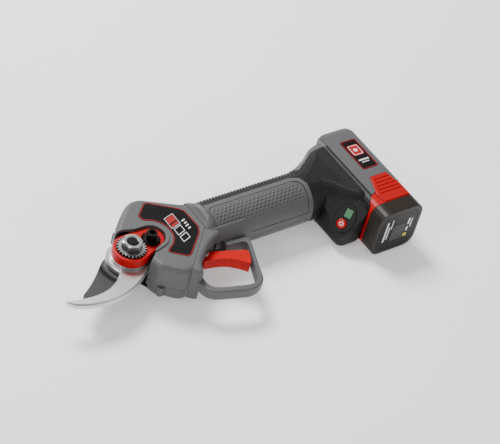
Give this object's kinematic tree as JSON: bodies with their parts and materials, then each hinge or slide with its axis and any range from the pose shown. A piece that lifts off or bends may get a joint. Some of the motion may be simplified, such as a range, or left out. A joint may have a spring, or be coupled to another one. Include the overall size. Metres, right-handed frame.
{
  "type": "electric pruner",
  "caption": "Battery powered pruning shears: bypass hook and blade, geared head, straight grip with loop guard and trigger, slide-off battery.",
  "frame": {"origin": "centre of the bounding box, at its lowest point; the tool lies on its side with the adjusting nut up", "axes": "+X along the grip from the blades to the battery, -Y the trigger side, +Z along the blade pivot towards the adjusting nut"},
  "size_m": [0.2874, 0.1036, 0.0416],
  "materials": {
    "grey_plastic": "fine matt grain",
    "black_plastic": "satin, fine grain",
    "grip_rubber": "dimpled soft grip",
    "red_plastic": "satin gloss",
    "trigger_red": "satin gloss",
    "brown_plastic": "satin",
    "label_black": "film label",
    "blade_steel": "ground and polished",
    "coated_steel": "low friction coating",
    "zinc_steel": "zinc plated",
    "dark_steel": "black oxide",
    "gear_steel": "machined",
    "bronze": "machined",
    "aluminium": "die cast",
    "display_green": "clear window",
    "circuit_board": "solder mask",
    "cell_wrap": "shrink wrap"
  },
  "bodies": {
    "tool": {"adjusting_nut": "zinc_steel", "bearing_block": "aluminium", "blade_screw_1": "dark_steel", "blade_screw_2": "dark_steel", "blade_spacer": "zinc_steel", "clamp_plate": "red_plastic", "control_board": "circuit_board", "control_panel": "black_plastic", "display_window": "display_green", "dock_cover_lower": "grey_plastic", "dock_cover_upper": "grey_plastic", "dock_label": "label_black", "fixed_blade": "blade_steel", "gearbox_case": "aluminium", "gearbox_front": "aluminium", "grip_cover": "grey_plastic", "grip_inlay_lower": "grip_rubber", "grip_inlay_upper": "grip_rubber", "handle_shell_lower": "black_plastic", "handle_shell_upper": "black_plastic", "head_cover_lower": "grey_plastic", "head_cover_upper": "grey_plastic", "head_label": "label_black", "lock_pinion": "dark_steel", "lock_screw": "dark_steel", "motor_can": "dark_steel", "motor_cap": "aluminium", "motor_driver": "circuit_board", "pinion_bearing": "bronze", "pivot_bolt": "dark_steel", "pivot_seat": "aluminium", "terminal_block": "black_plastic", "trigger_guard": "grey_plastic", "trigger_pin": "dark_steel", "trigger_spring": "zinc_steel", "trigger_switch": "black_plastic"},
    "moving_blade": {"moving_blade": "coated_steel", "sector_gear": "gear_steel", "sector_screw_1": "dark_steel", "sector_screw_2": "dark_steel"},
    "output_shaft": {"drive_pinion": "gear_steel", "planet_carrier": "gear_steel"},
    "planet_1": {"planet_gear_1": "bronze"},
    "planet_2": {"planet_gear_2": "bronze"},
    "planet_3": {"planet_gear_3": "bronze"},
    "rotor": {"motor_rotor": "gear_steel", "sun_gear": "gear_steel"},
    "trigger": {"trigger": "trigger_red"},
    "power_button": {"power_button": "red_plastic"},
    "battery": {"battery_housing": "red_plastic", "battery_base": "brown_plastic", "battery_label": "label_black", "battery_cell_1": "cell_wrap", "battery_cell_2": "cell_wrap", "battery_cell_3": "cell_wrap", "battery_cell_4": "cell_wrap", "battery_board": "circuit_board"},
    "latch_upper": {"latch_button_upper": "red_plastic"},
    "latch_lower": {"latch_button_lower": "red_plastic"}
  },
  "joints": [
    {"name": "blade_pivot", "type": "hinge", "parent": "tool", "child": "moving_blade", "pos_m": [-0.08126, 0.00885, 0.0183], "axis": [0, 0, -1], "range_deg": [0, 45]},
    {"name": "output_spin", "type": "hinge", "parent": "tool", "child": "output_shaft", "pos_m": [-0.05132, 0.01068, 0.0208], "axis": [-0.9981, -0.061, 0], "range_deg": [0, 180]},
    {"name": "planet_1_spin", "type": "hinge", "parent": "output_shaft", "child": "planet_1", "pos_m": [-0.03229, 0.01906, 0.0208], "axis": [0.9981, 0.061, 0], "range_deg": [0, 540]},
    {"name": "planet_2_spin", "type": "hinge", "parent": "output_shaft", "child": "planet_2", "pos_m": [-0.03163, 0.00828, 0.02704], "axis": [0.9981, 0.061, 0], "range_deg": [0, 540]},
    {"name": "planet_3_spin", "type": "hinge", "parent": "output_shaft", "child": "planet_3", "pos_m": [-0.03163, 0.00828, 0.01456], "axis": [0.9981, 0.061, 0], "range_deg": [0, 540]},
    {"name": "rotor_spin", "type": "hinge", "parent": "tool", "child": "rotor", "pos_m": [-0.00141, 0.01373, 0.0208], "axis": [-0.9981, -0.061, 0], "range_deg": [0, 720]},
    {"name": "trigger_press", "type": "hinge", "parent": "tool", "child": "trigger", "pos_m": [-0.03066, -0.01055, 0.0208], "axis": [0, 0, 1], "range_deg": [0, 9], "stiffness_Nm_per_rad": 0.5, "springref_deg": -11.46},
    {"name": "power_press", "type": "slide", "parent": "tool", "child": "power_button", "axis": [0.7029, 0.3615, -0.6125], "range_m": [0, 0.0008], "stiffness_N_per_m": 1500, "springref_m": -0.0004},
    {"name": "battery_slide", "type": "slide", "parent": "tool", "child": "battery", "axis": [0, -1, 0], "range_m": [0, 0.06]},
    {"name": "latch_upper_press", "type": "slide", "parent": "battery", "child": "latch_upper", "axis": [0, 0, -1], "range_m": [0, 0.0009], "stiffness_N_per_m": 3000, "springref_m": -0.0005},
    {"name": "latch_lower_press", "type": "slide", "parent": "battery", "child": "latch_lower", "axis": [0, 0, 1], "range_m": [0, 0.0009], "stiffness_N_per_m": 3000, "springref_m": -0.0005}
  ],
  "couplings": [
    {"joint": "output_spin", "follows": "blade_pivot", "ratio": 4},
    {"joint": "planet_1_spin", "follows": "blade_pivot", "ratio": 12},
    {"joint": "planet_2_spin", "follows": "blade_pivot", "ratio": 12},
    {"joint": "planet_3_spin", "follows": "blade_pivot", "ratio": 12},
    {"joint": "rotor_spin", "follows": "blade_pivot", "ratio": 16}
  ]
}
